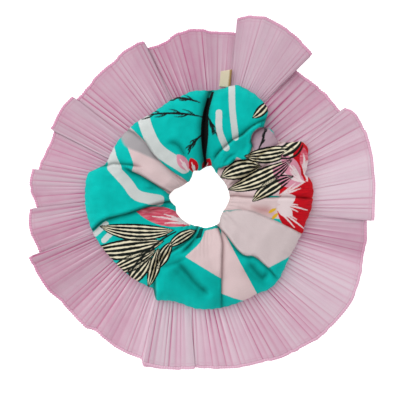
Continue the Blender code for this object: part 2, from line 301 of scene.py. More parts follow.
def fold_lift(xy):
    """The lift of the cover's top at plan points, in millimetres up, and its painted fold shade: how deep it
    is in a fold or under an overlapping edge, 0 to 1, which sets how much the cotton is painted in shade
    there.
    """
    lift = np.zeros(len(xy))
    painted_fold_shade = np.zeros(len(xy))
    for kind, depth, width, points in FOLDS:
        line = curve_through(points)
        near = near_box(line, xy, 5 * width + 3)
        distance, side, run, length = nearest_on(line, xy[near])
        taper = smooth_step(0, 6, run) * smooth_step(0, 6, length - run)
        if kind == "valley":
            shape = np.exp(-((distance / width) ** 1.3))
            lift[near] -= depth * taper * shape
            painted_fold_shade[near] = np.maximum(painted_fold_shade[near], taper * shape * min(1, depth / 4))
            continue
        signed = distance * side
        rise = np.sqrt(np.clip(1 - (1 - np.clip(signed / FOLD_EDGE, 0, 1)) ** 2, 0, 1))
        high = 0.5 * depth * rise * np.exp(-np.maximum(signed - FOLD_EDGE, 0) / (1.6 * width))
        low = -0.5 * depth * np.exp(-((np.maximum(-signed, 0) / width) ** 1.2))
        lift[near] += taper * (high + low * np.where(signed > 0, 1 - rise, 1))
        under = np.exp(-np.abs(signed + 0.4) / 0.9) * (signed < 0.6)
        painted_fold_shade[near] = np.maximum(painted_fold_shade[near], min(1, depth / 3.4) * taper * under)
    return lift, painted_fold_shade


def superellipse(turn):
    """A superellipse's upper half at each turn, in radians: across from -1 to 1, and up from 0 to 1."""
    power = 2 / TOP_POWER
    return np.sign(np.cos(turn)) * np.abs(np.cos(turn)) ** power, np.abs(np.sin(turn)) ** power


def cover_points():
    """The cover's grid of points, where each is on the flat cloth, and how deep in a fold it is, which sets
    the painted shade in its folds.
    """
    azimuth = np.arange(COVER_COLUMNS) * 360 / COVER_COLUMNS
    hole = read_loop(HOLE_OUTLINE, azimuth)[:, None]
    edge = read_loop(COVER_OUTLINE, azimuth)[:, None]
    seam = edge - SEAM_SET_IN
    crown = np.full(COVER_COLUMNS, CROWN)
    for where, depth, width in CROWN_DIPS:
        off = (azimuth - where + 180) % 360 - 180
        crown -= depth * np.exp(-((off / width) ** 2))
    crown = crown[:, None]
    upper, lower = SEAM_HEIGHT + LIP_GAP, SEAM_HEIGHT - LIP_GAP
    radii, heights, zones = [], [], []

    def stretch(zone, radius, height):
        radius, height = np.broadcast_arrays(radius, height)
        radii.append(radius)
        heights.append(height)
        zones.extend([zone] * radius.shape[1])

    def quarter_turn(steps):
        return np.radians(np.linspace(0, 90, steps))[None, :-1]

    flat = np.linspace(0, 1, 3)[None, :-1]
    stretch("lip", seam - ALLOWANCE * (1 - flat), np.full_like(seam, upper))
    turn = quarter_turn(6)
    stretch("bulge", seam + SEAM_SET_IN * np.sin(turn), upper + (BULGE_HEIGHT - upper) * (1 - np.cos(turn)))
    # The top is a superellipse, sampled evenly along its length.
    fine = np.linspace(0, math.pi, 400)
    across, up = superellipse(fine)
    steps = np.hypot(np.diff(across) * TOP_HALF_WIDTH, np.diff(up) * TOP_RISE)
    run = np.concatenate([[0], np.cumsum(steps)])
    even = np.interp(np.linspace(0, run[-1], TOP_POINTS), run, fine)[None, :-1]
    across, up = superellipse(even)
    base = HOLE_EDGE_HEIGHT + (BULGE_HEIGHT - HOLE_EDGE_HEIGHT) * (1 + across) / 2
    stretch("top", (edge + hole) / 2 + (edge - hole) / 2 * across, base + (crown - base) * up)
    turn = quarter_turn(10)
    stretch("wall", hole + HOLE_ROLL * (1 - np.cos(turn)),
            HOLE_EDGE_HEIGHT - (HOLE_EDGE_HEIGHT - COVER_BOTTOM) * np.sin(turn))
    share = np.linspace(0, 1, 9)[None, :-1]
    stretch("under", hole + HOLE_ROLL + (seam - SEAM_ROLL - hole - HOLE_ROLL) * share,
            np.full_like(seam, COVER_BOTTOM))
    turn = quarter_turn(8)
    stretch("under", seam - SEAM_ROLL + SEAM_ROLL * np.sin(turn),
            COVER_BOTTOM + (lower - COVER_BOTTOM) * (1 - np.cos(turn)))
    flat = np.linspace(0, 1, 3)[None, :]
    stretch("lip", seam - ALLOWANCE * flat, np.full_like(seam, lower))

    radius, height = np.concatenate(radii, axis=1), np.concatenate(heights, axis=1)
    zones = np.array(zones)
    angle = np.broadcast_to(azimuth[:, None], radius.shape)
    points = np.concatenate([polar(radius, angle), height[..., None]], axis=-1)

    # The print carries on from the hole's edge down the wall and under the ring, turning as it goes.
    print_radius, print_angle = radius.copy(), angle.copy()
    outer = np.isin(zones, ("lip", "bulge"))
    print_radius[:, outer] = (edge - 0.3).repeat(outer.sum(), axis=1)
    first = int(np.argmax(zones == "wall"))
    steps = np.linalg.norm(np.diff(points[:, first - 1:], axis=1), axis=2)
    run = np.cumsum(steps, axis=1)
    print_radius[:, first:] = np.minimum(hole + run, PRINT_REACH)
    print_angle[:, first:] = angle[:, first:] + PRINT_TURN * smooth_step(0, PRINT_TURN_RUN, run)
    cloth = polar(print_radius, print_angle)

    # Gathers: radial ridges at the hole and at the seam, folds, and soft wrinkles between them.
    top = zones == "top"
    share = (radius - hole) / (edge - hole)
    angle_radians = np.radians(angle)
    drift = lattice_noise(3, 23, 5, *radius.shape)
    uneven = 0.45 + 0.55 * lattice_noise(4, 40, 4, *radius.shape)
    gathers = np.sin(HOLE_GATHERS * angle_radians + 9 * drift) * uneven
    puckers = np.sin(SEAM_PUCKERS * angle_radians + 4 * lattice_noise(5, 31, 4, *radius.shape))
    wrinkles = lattice_noise(6, 46, 26, *radius.shape) * 0.35
    wrinkles += lattice_noise(7, 18, 12, *radius.shape) * 0.6
    lift = np.zeros_like(radius)
    painted_fold_shade = np.zeros_like(radius)
    flat_lift, flat_fold_shade = fold_lift(points[:, top, :2].reshape(-1, 2))
    weight = smooth_step(0, 0.5, (height[:, top] - base) / (crown - base) + 0.12)
    lift[:, top] = flat_lift.reshape(len(azimuth), -1) * weight
    painted_fold_shade[:, top] = flat_fold_shade.reshape(len(azimuth), -1)
    near_hole = np.exp(-np.maximum(radius - hole, 0) / 7) * (height > 1.5)
    near_edge = np.exp(-np.maximum(edge - radius, 0) / 5) * (height > 1.5)
    inland = smooth_step(0, 0.15, share) * smooth_step(0, 0.15, 1 - share)
    points[..., 2] += lift + np.where(top, wrinkles * inland, 0)
    normal = np.cross(np.roll(points, -1, axis=0) - np.roll(points, 1, axis=0), np.gradient(points, axis=1))
    normal /= np.linalg.norm(normal, axis=2, keepdims=True)
    inner = zones != "lip"
    at_hole = 0.42 * gathers * near_hole * smooth_step(0, 0.1, share + 0.03)
    swell = (at_hole + 0.12 * puckers * near_edge) * inner
    points -= normal * swell[..., None]
    points[..., 2] = np.maximum(points[..., 2], LOWEST_POINT)
    return points, cloth, painted_fold_shade


# ---- print
# The print is generic, in the real cover's colours: blocks and bars of pale colour on teal, simple petals,
# striped leaves and ink sprigs, all in plan. The real flower, leaves and ink drawing are not copied, but the
# blocks follow the real areas of colour. A petal or a leaf is (x, y, length, width, heading, bend): it starts
# at (x, y), sets off along heading and turns by bend, in millimetres and degrees.
# A few of the blocks are painted shade, not print, as marked below.
BLOCKS = (
    ("pink", ((-38, 38), (-37.2, 30.8), (-35.9, 25.1), (-33, 17), (-33.6, 13.2), (-24, 7.9), (-13, 0.5),
        (-5, 2), (-6.4, 8), (-14.1, 13.2), (-19.4, 17.8), (-24.8, 24.7), (-29.4, 30))),
    ("pink", ((14, 0.6), (24.9, -0.2), (41.8, 0), (43, -4), (42, -11), (31.5, -9.5), (19.9, -6.2), (4, -8),
        (9, 1))),
    ("pink", ((10.6, -14.5), (17.4, -27.7), (28.2, -47.6), (31, -52), (20.7, -51), (10.6, -47.6))),
    ("pink", ((-7.3, -29.3), (-0.2, -22.6), (2.4, -16.6), (9.1, -15.2), (10.9, -22), (10.9, -40.4),
        (-4.2, -31.2))),
    ("pink", ((9, 14.4), (15.4, 16.9), (18.2, 20), (22.2, 18.4), (25.1, 23.2), (29, 32), (46, 30), (62, 30),
        (62, -14), (41.8, 0), (24.9, -0.2), (14, 0.6), (8, 6))),
    # Painted shade: the central puff's pink, made a little darker where that puff lies in shade.
    ("shaded_pink", ((3, -8.5), (11.6, -7.2), (24.9, -6.4), (36.5, -11), (50.6, -18), (56, -20), (52, -26),
        (45.2, -29), (34, -34.8), (26.5, -29), (20.7, -27.7), (10.3, -15.7))),
    # Painted shade: the upper part of the left pink puff, shaded beside the fold where the teal puff lies
    # over it.
    ("grey_shade", ((-37.2, 25.8), (-29.4, 22), (-19.4, 17.4), (-24.8, 24.7), (-32.4, 32.3), (-38, 38),
        (-40, 34))),
    # Painted shade, reddish, on the pink strip below the red flower.
    ("reddish_shade", ((26, -4.6), (34, -5), (36.4, -8.4), (30, -7.4))),
    ("mauve", ((25.3, 30.3), (28.7, 34.4), (33.2, 35.1), (38.2, 29.8), (39, 26.6), (29, 20.6), (26.6, 24))),
    # Dark teal at the foot of a crease: partly ink, partly painted shade in the crease.
    ("dark", ((-0.2, -15.6), (1.8, -15.4), (0.6, -19.9), (-2, -20.6))),
)
# Plain bars: (layer, width, points along the middle).
BARS = (
    ("white", 6.2, ((-29, 43), (-26, 33), (-20.5, 23.5), (-8, 15))),
    ("white", 5.4, ((-45.5, 27), (-44, 20), (-41.5, 14.5))),
    ("white", 5.4, ((-43.4, 15), (-36, 7), (-31, 1), (-20.5, -1.4))),
    ("white", 3.2, ((9.4, 42), (9.6, 33), (13, 24.5))),
    ("white", 3.2, ((15.8, 57), (16, 44), (17.6, 29.6))),
    ("white", 2.8, ((-52, -18), (-46.6, -13.2))),
    ("white", 2.8, ((-47.6, -21.2), (-42, -15.4))),
    # The two black bars along the top crease are partly ink and partly painted shade in the deep fold.
    ("black", 2.4, ((4, 49), (1.9, 39), (1.6, 28), (2.8, 17))),
    ("black", 2.2, ((6.4, 52), (3.4, 42), (3.2, 30), (2.4, 20))),
)
PETALS = (
    ("red", (39, 1, 23, 17, 22, 10)), ("red", (39, -3, 21, 16, -10, -8)),
    ("red", (38, -6, 25, 12, -30, -12)), ("red", (53.4, 8, 20, 12, 104, -12)),
    ("rose", (52.8, 12, 13, 5, 100, -8)), ("blush", (52, 7.6, 18, 11, 166, -22)),
    ("blush", (50, 9, 16, 7, 124, 10)), ("stroke", (38, -2.4, 10, 6, 12, 10)),
    ("stroke", (38, -4.4, 9, 6, -24, -10)), ("rose", (-5.4, -13.6, 27, 9, 158, 16)),
    ("red", (-5, -13.8, 14, 7, 148, 20)), ("blush", (-6, 13, 10, 5, 118, 10)),
    ("red", (-2.6, 12, 8, 5, 100, 10)), ("red", (2.4, 12, 8, 5, 78, -10)),
    ("yellow", (38, -5.4, 5, 1.6, 200, 20)), ("yellow", (39, -7.6, 5, 1.6, 215, 20)),
)
# (The leaf, how many stripes it has).
LEAVES = (
    ((14, 4, 35, 8.4, 12, 26), 4), ((26, -2, 24, 7, 44, -24), 3), ((10.4, 10, 21, 9, 30, -30), 4),
    ((22, 20.4, 25, 7.6, -2, 22), 4), ((38, 20.4, 16, 7.6, 16, 36), 3), ((26, 39.4, 12, 4.4, 34, 24), 2),
    ((-13, -16.2, 37, 8, 190, -26), 4), ((-18, -21.6, 39, 9.4, 197, -18), 4),
    ((-22, -26, 27, 7.4, 212, -14), 4), ((-24.4, -29.6, 19, 6.4, 234, -10), 3),
    ((-20.6, -25, 20, 5.4, 262, -14), 3), ((-14, -22, 15, 5.6, 236, 12), 3),
    ((-2, -16.4, 16, 5, 200, 22), 3),
)
# ((x, y, length, a twig's length, heading, bend), how many twigs).
SPRIGS = (
    ((1, 40, 27, 7, 168, 20), 6), ((0.6, 31, 10, 4.4, 222, 14), 4), ((0, 47, 15, 5, 158, 26), 4),
    ((4, 40, 9, 4, 300, -20), 4), ((29, 24, 11, 3, 60, 24), 3), ((-12, -17, 32, 5, 206, 32), 5),
)
STEM_WIDTH = 1.1
TWIG_WIDTH = 0.75
TWIG_LEAN = 32
LEAF_LINE = 0.7
BRUSH_STROKE = 0.8


def midrib(x, y, length, heading, bend, steps=8):
    """Points along a line that starts at (x, y), sets off along heading and turns by bend."""
    turn = np.radians(heading + bend * (np.arange(steps) + 0.5) / steps)
    run = np.cumsum(np.stack([np.cos(turn), np.sin(turn)], axis=1), axis=0) * length / steps
    return np.concatenate([[(x, y)], (x, y) + run])


def leaf_edges(x, y, length, width, heading, bend):
    """The two edges of a leaf or petal, from its foot to its tip, either side of its midrib."""
    rib = midrib(x, y, length, heading, bend)
    run = np.gradient(rib, axis=0)
    side = np.stack([-run[:, 1], run[:, 0]], axis=1) / np.linalg.norm(run, axis=1, keepdims=True)
    swell = width / 2 * np.sin(np.pi * np.linspace(0, 1, len(rib)))[:, None] ** 0.8
    return rib + side * swell, rib - side * swell


def sprig(x, y, length, twig, heading, bend, twigs):
    """An ink stem with short twigs to the left and right in turn."""
    stem = midrib(x, y, length, heading, bend)
    strokes = [("black", STEM_WIDTH, stem)]
    for number in range(twigs):
        share = (number + 1) / (twigs + 1)
        foot = stem[round(share * (len(stem) - 1))]
        side = TWIG_LEAN if number % 2 else -TWIG_LEAN
        line = midrib(*foot, twig, heading + bend * share + side, -side, steps=4)
        strokes.append(("black", TWIG_WIDTH, line))
    return strokes


PRINT = list(BLOCKS)
STROKES = list(BARS)
BANDS = []
for layer, petal in PETALS:
    left, right = leaf_edges(*petal)
    PRINT.append((layer, np.concatenate([left, right[-2:0:-1]])))
    if layer in ("red", "rose", "blush"):
        x, y, length, _, heading, bend = petal
        STROKES += [("stroke", BRUSH_STROKE, midrib(x, y, share * length, heading + lean, bend, steps=4))
                    for share, lean in ((0.5, -9), (0.7, 1), (0.45, 10))]
for leaf, stripes in LEAVES:
    left, right = leaf_edges(*leaf)
    BANDS.append((stripes, left, right))
    STROKES += [("black", LEAF_LINE, left), ("black", LEAF_LINE, right)]
for stem, twigs in SPRIGS:
    STROKES += sprig(*stem, twigs)
# The layers of colour, each laid over the ones before it. Most are the print, but three are painted shade: a
# dull pinkish tone on the left pink puff, a reddish one below the red flower, and a slightly darker pink on
# the central puff. The dark teal is partly ink and partly painted shade.
LAYERS = {
    "pink": (222, 198, 199), "reddish_shade": (200, 150, 150), "grey_shade": (168, 163, 166), "white": (204, 210, 208),
    "dark": (4, 84, 78), "mauve": (184, 156, 170), "cream": (238, 228, 198), "red": (208, 18, 32),
    "rose": (208, 78, 100), "blush": (216, 146, 166), "stroke": (232, 214, 216), "shaded_pink": (212, 196, 197),
    "yellow": (222, 176, 48), "black": (22, 28, 26),
}
# Paler or darker brush streaks within two of them.
STREAKS = {"red": (186, 12, 30), "rose": (226, 128, 144)}
# How far each side of its edge a layer fades, where that isn't the usual distance.
FADES = {"grey_shade": 0.6, "shaded_pink": 0.25, "reddish_shade": 1.8}
USUAL_FADE = 0.14
STRIPE_INK = 0.5
# Beyond this distance, a motif's edge needn't be known.
FAR = 4.0
# Strokes narrower than this taper to their ends.
PEN_WIDTH = 2.5


def outside_of(loop, xy):
    """Indices of the plan points near a closed polyline, and how far outside it each of them is."""
    near = near_box(loop, xy, FAR)
    distance = nearest_on(loop, xy[near])[0]
    distance[inside_loop(loop, xy[near])] *= -1
    return near, distance


def print_fields(xy):
    """For each layer, how far each point of the cloth is outside that layer's motifs, in millimetres. Then,
    for the striped leaves, which stripe each point is on and how far outside them it is."""
    fields = {layer: np.full(len(xy), FAR) for layer in LAYERS}
    phase, outside = np.zeros(len(xy)), np.full(len(xy), FAR)
    for layer, outline in PRINT:
        near, distance = outside_of(curve_through(outline, closed=True), xy)
        fields[layer][near] = np.minimum(fields[layer][near], distance)
    for layer, width, points in STROKES:
        line = curve_through(points)
        near = near_box(line, xy, FAR)
        distance, _, run, length = nearest_on(line, xy[near])
        taper = 0.55 + 0.45 * np.sin(np.pi * np.clip(run / length, 0.04, 0.96)) if width < PEN_WIDTH else 1
        fields[layer][near] = np.minimum(fields[layer][near], distance - width / 2 * taper)
    for stripes, first, second in BANDS:
        first, second = curve_through(first), curve_through(second)
        near, distance = outside_of(np.concatenate([first, second[::-1], first[:1]]), xy)
        fields["cream"][near] = np.minimum(fields["cream"][near], distance)
        from_first, from_second = nearest_on(first, xy[near])[0], nearest_on(second, xy[near])[0]
        here = stripes * from_first / np.maximum(from_first + from_second, 1e-6)
        nearer = distance < outside[near]
        phase[near[nearer]], outside[near[nearer]] = here[nearer], distance[nearer]
    fields = {"print_" + layer: distance for layer, distance in fields.items()}
    return {**fields, "stripe_phase": phase, "stripe_area": outside}


# ---- node helpers
# A wave texture of this scale has one band in each unit of length.
WAVE_SCALE = 0.314
# How brightly the studio lights the cotton and the voile.
LIGHT = 1.12
VOILE_LIGHT = 0.93


def linear(red, green, blue, light=LIGHT):
    """A colour given as it looks on the 0 to 255 scale of a screen, as the linear colour of a surface under
    the studio's light."""
    values = [c / 255 for c in (red, green, blue)]
    values = [c / 12.92 if c <= 0.04045 else ((c + 0.055) / 1.055) ** 2.4 for c in values]
    return tuple(min(0.95, c / light) for c in values) + (1.0,)


def set_inputs(node, inputs):
    """Gives a node's inputs their values, or links them to the outputs that are given."""
    for socket, value in inputs.items():
        if isinstance(value, bpy.types.NodeSocket):
            node.id_data.links.new(value, node.inputs[socket])
        else:
            node.inputs[socket].default_value = value


def new_material(name, roughness, sheen=0.0, specular=0.06):
    material = bpy.data.materials.new(name)
    material.use_nodes = True
    shader = material.node_tree.nodes["Principled BSDF"]
    set_inputs(shader, {"Roughness": roughness, "Sheen Weight": sheen, "Sheen Roughness": 0.45,
                        "Specular IOR Level": specular})
    return material, material.node_tree, shader


def add(tree, kind, inputs=None, **settings):
    """A shader node with its settings and inputs."""
    node = tree.nodes.new("ShaderNode" + kind)
    for key, value in settings.items():
        setattr(node, key, value)
    set_inputs(node, inputs or {})
    return node


def maths(tree, operation, first, second=0.0, third=0.0):
    return add(tree, "Math", {0: first, 1: second, 2: third}, operation=operation).outputs[0]


def attribute(tree, name, output="Fac"):
    return add(tree, "Attribute", attribute_name=name).outputs[output]


def ramp(tree, value, low, high, to_low=0.0, to_high=1.0):
    inputs = {"Value": value, "From Min": low, "From Max": high, "To Min": to_low, "To Max": to_high}
    return add(tree, "MapRange", inputs).outputs["Result"]


def mix(tree, factor, first, second, blend="MIX"):
    node = add(tree, "Mix", {0: factor, 6: first, 7: second}, data_type="RGBA", blend_type=blend)
    return node.outputs[2]


def noise(tree, vector, scale, detail=2.0):
    inputs = {"Vector": vector, "Scale": scale, "Detail": detail}
    return add(tree, "TexNoise", inputs).outputs["Fac"]


def threads(tree, vector, pitch, distortion, way):
    """A row of threads or stitches side by side, one every pitch millimetres along way."""
    inputs = {"Vector": vector, "Scale": WAVE_SCALE / pitch, "Distortion": distortion, "Detail": 1}
    return add(tree, "TexWave", inputs, bands_direction=way).outputs["Fac"]


def weave(tree, vector, pitch):
    """A plain weave's height: two crossing waves of thread, one thread every pitch millimetres."""
    return maths(tree, "MAXIMUM", *(threads(tree, vector, pitch, 0.3, way) for way in "XY"))


def bump(tree, shader, height, distance):
    node = add(tree, "Bump", {"Height": height, "Distance": distance * MM})
    set_inputs(shader, {"Normal": node.outputs["Normal"]})


# ---- materials
# Millimetres from thread to thread, and how much of its light the voile lets through.
COTTON_PITCH = 0.34
VOILE_PITCH = 0.3
LABEL_PITCH = 0.42
SHEERNESS = 0.25


def cotton_material():
    material, tree, shader = new_material("printed_cotton", roughness=0.86, sheen=0.03)
    cloth = attribute(tree, "cloth", "Vector")
    # The dye creeps a little along the threads, so an edge of the print is never quite sharp or straight.
    creep = maths(tree, "MULTIPLY_ADD", noise(tree, cloth, 1.6), 0.5, -0.25)
    dapple = ramp(tree, noise(tree, cloth, 0.12, 3.0), 0.3, 0.7)
    colour = mix(tree, dapple, linear(1, 176, 168), linear(4, 196, 187))
    for layer, paint in LAYERS.items():
        paint = linear(*paint)
        distance = maths(tree, "ADD", attribute(tree, "print_" + layer), creep)
        fade = FADES.get(layer, USUAL_FADE)
        cover = ramp(tree, distance, fade, -fade)
        if layer == "black":
            wave = maths(tree, "PINGPONG", attribute(tree, "stripe_phase"), 0.5)
            uneven = ramp(tree, noise(tree, cloth, 0.35, 1.0), 0.3, 0.7, 0.48, 0.78)
            wide = maths(tree, "MULTIPLY", STRIPE_INK, uneven)
            band = ramp(tree, maths(tree, "SUBTRACT", wave, wide), 0.06, -0.06)
            area = ramp(tree, maths(tree, "ADD", attribute(tree, "stripe_area"), creep), 0.45, 0.15)
            cover = maths(tree, "MAXIMUM", cover, maths(tree, "MULTIPLY", band, area))
        if layer in STREAKS:
            stretched = {"Vector": cloth, "Rotation": (0, 0, 0.9), "Scale": (0.14, 1.3, 1)}
            streaks = noise(tree, add(tree, "Mapping", stretched).outputs[0], 1.0)
            paint = mix(tree, ramp(tree, streaks, 0.42, 0.62), paint, linear(*STREAKS[layer]))
        colour = mix(tree, cover, colour, paint)
    # Painted shade: the weave is darker between its threads and the folds are darker, as less light reaches
    # into them. The slub noise makes the threads differ slightly.
    cloth_weave = weave(tree, cloth, COTTON_PITCH)
    thread = maths(tree, "MULTIPLY_ADD", cloth_weave, 0.1, 0.93)
    slub = maths(tree, "MULTIPLY_ADD", noise(tree, cloth, 2.2, 3.0), 0.14, 0.93)
    tone = maths(tree, "MULTIPLY", thread, slub)
    tone = maths(tree, "MULTIPLY", tone, ramp(tree, attribute(tree, "painted_fold_shade"), 0.1, 1.0, 1.0, 0.62))
    # Painted shade in the folds: light that has bounced about in a fold takes the cloth's own colour twice
    # over.
    deep = ramp(tree, attribute(tree, "painted_fold_shade"), 0.05, 0.8, 0.0, 0.85)
    colour = mix(tree, deep, colour, mix(tree, 1.0, colour, colour, "MULTIPLY"))
    set_inputs(shader, {"Base Color": toned(tree, colour, tone)})
    rumple = maths(tree, "MULTIPLY", noise(tree, cloth, 0.9, 3.0), 1.5)
    bump(tree, shader, maths(tree, "ADD", cloth_weave, rumple), 0.07)
    return material


def by_shade(tree, dark, pale):
    """A pink that goes from dark to pale with the frill's shade at each point, which is painted light and
    shade: darker on the frill's shaded side, paler on its lit side.
    """
    return mix(tree, attribute(tree, "shade"), linear(*dark, VOILE_LIGHT), linear(*pale, VOILE_LIGHT))


def toned(tree, colour, tone):
    """The colour, multiplied by a number."""
    grey_shade = add(tree, "CombineColor", {0: tone, 1: tone, 2: tone}).outputs[0]
    return mix(tree, 1.0, colour, grey_shade, "MULTIPLY")


def voile_material():
    material, tree, shader = new_material("pleated_voile", roughness=0.8, sheen=0.06)
    cloth = attribute(tree, "cloth", "Vector")
    # Where the pleats stand close the cloth shows two or three layers deep, which is a stronger pink. Each
    # pink is painted darker on the frill's shaded side and paler on its lit side.
    pale = by_shade(tree, (192, 163, 178), (229, 214, 223))
    full = by_shade(tree, (188, 128, 157), (217, 170, 194))
    colour = mix(tree, attribute(tree, "band"), pale, full)
    cloudy = ramp(tree, noise(tree, cloth, 0.14, 3.0), 0.35, 0.65)
    clouds = by_shade(tree, (196, 176, 184), (228, 212, 220))
    colour = mix(tree, maths(tree, "MULTIPLY", cloudy, 0.3), colour, clouds)
    # Painted highlights on the pleats' crests, and painted light beside the cover on the frill's lit side.
    ridges = by_shade(tree, (228, 204, 216), (242, 226, 234))
    colour = mix(tree, attribute(tree, "ridge"), colour, ridges)
    # The creases are a strong pink: partly the cloth folded over on itself, partly painted shade in the
    # crease.
    stitched = maths(tree, "MULTIPLY", attribute(tree, "stitched"), 0.16)
    creased = maths(tree, "MAXIMUM", attribute(tree, "crease"), stitched)
    colour = mix(tree, creased, colour, by_shade(tree, (182, 72, 124), (200, 88, 144)))
    cloth_weave = weave(tree, cloth, VOILE_PITCH)
    # The weave is painted darker between its threads: painted shade.
    colour = toned(tree, colour, maths(tree, "MULTIPLY_ADD", cloth_weave, 0.08, 0.94))
    set_inputs(shader, {"Base Color": colour})
    bump(tree, shader, cloth_weave, 0.04)
    through = add(tree, "BsdfTranslucent", {"Color": colour})
    mixed = add(tree, "MixShader", {0: SHEERNESS, 1: shader.outputs[0], 2: through.outputs[0]})
    set_inputs(tree.nodes["Material Output"], {"Surface": mixed.outputs[0]})
    return material


def hem_material():
    """Overlocked sewing thread: stitches side by side across the edge, painted lit on their tops with painted
    shade in the gaps between them, and lighter or darker with the frill's painted light and shade.
    """
    material, tree, shader = new_material("hem_thread", roughness=0.7, sheen=0.1)
    cloth = attribute(tree, "cloth", "Vector")
    stitch = threads(tree, cloth, STITCH, 0.8, "X")
    lit = by_shade(tree, (196, 140, 166), (222, 190, 205))
    gap = by_shade(tree, (176, 108, 140), (206, 156, 180))
    # The two rows of looping thread at the band's sides are the strongest pink.
    across = maths(tree, "ABSOLUTE", add(tree, "SeparateXYZ", {0: cloth}).outputs[1])
    loops = ramp(tree, across, 0.5, 0.95, 1.0, 0.35)
    fuzz = ramp(tree, noise(tree, cloth, 2.4), 0.25, 0.75, 0.45, 1.0)
    shown = maths(tree, "MULTIPLY", ramp(tree, stitch, 0.0, 0.6, 0.3, 1.0), fuzz)
    shown = maths(tree, "MULTIPLY", shown, loops)
    set_inputs(shader, {"Base Color": mix(tree, shown, gap, lit)})
    bump(tree, shader, stitch, 0.12)
    return material


def rib_material(name, colour, dark, scale, turn):
    """A braided or twisted surface, for the CAD pieces inside the cover, with its darker colour in the
    grooves between its ribs, which is painted shade, and in random fibres.
    """
    material, tree, shader = new_material(name, roughness=0.8, sheen=0.1)
    place = add(tree, "TexCoord").outputs["Object"]
    turned = add(tree, "Mapping", {"Vector": place, "Rotation": (0, turn, 0)}).outputs[0]
    inputs = {"Vector": turned, "Scale": scale, "Distortion": 0.4}
    ribs = add(tree, "TexWave", inputs, bands_direction="Z").outputs["Fac"]
    fibres = maths(tree, "MULTIPLY", ribs, noise(tree, place, 2500.0, 3.0))
    set_inputs(shader, {"Base Color": mix(tree, fibres, dark, colour)})
    bump(tree, shader, ribs, 0.12)
    return material


# ---- frill
# Panels of the one pleated strip, in order along it: visible outer edge as (azimuth, radius, height), then
# the azimuths of its two ends at the seam. Between two panels the strip folds back on itself. A height that
# isn't given is the usual one.
PANELS = (
    (((251, 88.4, 5.4), (256, 88, 5), (262, 87, 4.7), (268.5, 85.8, 4.6)), 246.5, 264.5),
    (((263.5, 85), (269, 85.2), (275, 86.2), (282, 87.5), (290, 88), (297, 90.2, 2.8), (305, 91, 3),
        (310, 92.2, 3), (325, 92.5, 2.8), (330, 91, 2.4), (336, 89), (337, 88), (341, 87), (347, 86, 2),
        (351.5, 84.5, 1.8), (357, 84, 1.6)), 261.5, 353.5),
    (((352, 87.8, 5.2), (360, 87.7, 5.2), (370, 88.5, 5.2), (380, 89.7, 5.2), (388, 88.5, 5.2),
        (390, 87.4, 5.2), (392, 85, 5.2)), 350.5, 388.5),
    (((387, 83), (393, 82.2, 2.4), (400, 81.8, 2.4), (405, 80.5, 2.4), (410, 80, 2.4), (412, 79.8, 2.4),
        (416.5, 79.5, 2.4)), 385.5, 419.7),
    (((411.8, 91, 8.8), (416, 92.8, 9.4), (420, 94.3, 10), (425, 95.5, 10.2), (430, 96.2, 10.2),
        (435, 94, 9.6), (438.4, 91.6, 9)), 416.7, 434.3),
    (((433.4, 84.6, 2.6), (438.5, 84.3, 2.6), (442, 84, 2.4), (446, 83.2, 2.4), (450, 84.5, 2.4),
        (454, 84.3, 2.4), (458, 83, 2.4), (462, 80.5), (466, 79), (469, 79.2, 2),
        (474.3, 79.2, 1.8)), 431.3, 468.5),
    (((469.3, 82.8, 4.6), (472, 83.5, 4.4), (478, 82.5, 3.8), (480, 82.2, 3.6), (480.8, 80.8, 3.6),
        (488, 80.5, 3), (495, 79, 2.6), (499, 78.8, 2.4), (506.3, 78.6, 2)), 465.5, 504),
    (((501.3, 81.4, 4.2), (506, 82.5, 4.2), (511, 82.4, 4.2), (515.8, 82.2, 4.2)), 501, 517.5),
    (((510.8, 80.4), (516, 80.3), (520, 80), (525, 81), (529, 82.2), (535, 82, 2)), 514.5, 532.5),
    (((530, 85, 4.2), (535, 85.5, 4), (538, 85, 3.4), (541, 83, 2.8), (543.5, 81.8, 2.4),
        (548.5, 81.6, 2)), 529.5, 545),
    (((543.5, 85.5, 4.2), (548, 86.7, 3.8), (553, 86.5, 3), (558, 85, 2.6), (563.8, 84.6, 2)), 542, 561),
    (((558.8, 90.7, 4.8), (565, 90, 4.2), (572, 89, 3.4), (576, 87, 2.8), (582, 86.7, 2.4), (589, 86.7),
        (591, 85), (595, 85.2), (600, 86.5), (610.2, 86.2), (611, 89.2, 2.4), (617, 88, 2.4),
        (623, 86.2, 2)), 558, 618.5),
)
PLEAT_WIDTH = 3.1
# One pleat from valley to valley: (share of its width, height, how deep in the crease, how thin and bright
# its painted highlight is).
PLEAT_PROFILE = (
    (0, -1, 1, 0), (0.1, -0.1, 0.85, 0), (0.22, 0.7, 0.1, 0.9), (0.36, 0.85, 0, 0.4), (0.62, 0.6, 0, 0),
    (0.92, -0.2, 0.4, 0),
)
# How closely the pleats stand round the frill: (azimuth, share).
CROWDED = (
    (0, 0.1), (12, 0.2), (22, 0.9), (33, 0.6), (45, 0.8), (58, 0.35), (68, 0.2), (82, 0.7), (92, 0.5),
    (104, 0.8), (118, 0.35), (136, 0.5), (150, 0.4), (165, 0.6), (176, 0.6), (190, 0.75), (203, 0.6),
    (215, 0.9), (228, 1), (243, 0.9), (254, 0.4), (266, 0.5), (280, 0.6), (296, 0.5), (308, 0.9),
    (320, 0.4), (336, 0.2), (340, 1), (346, 1), (352, 0.6),
)
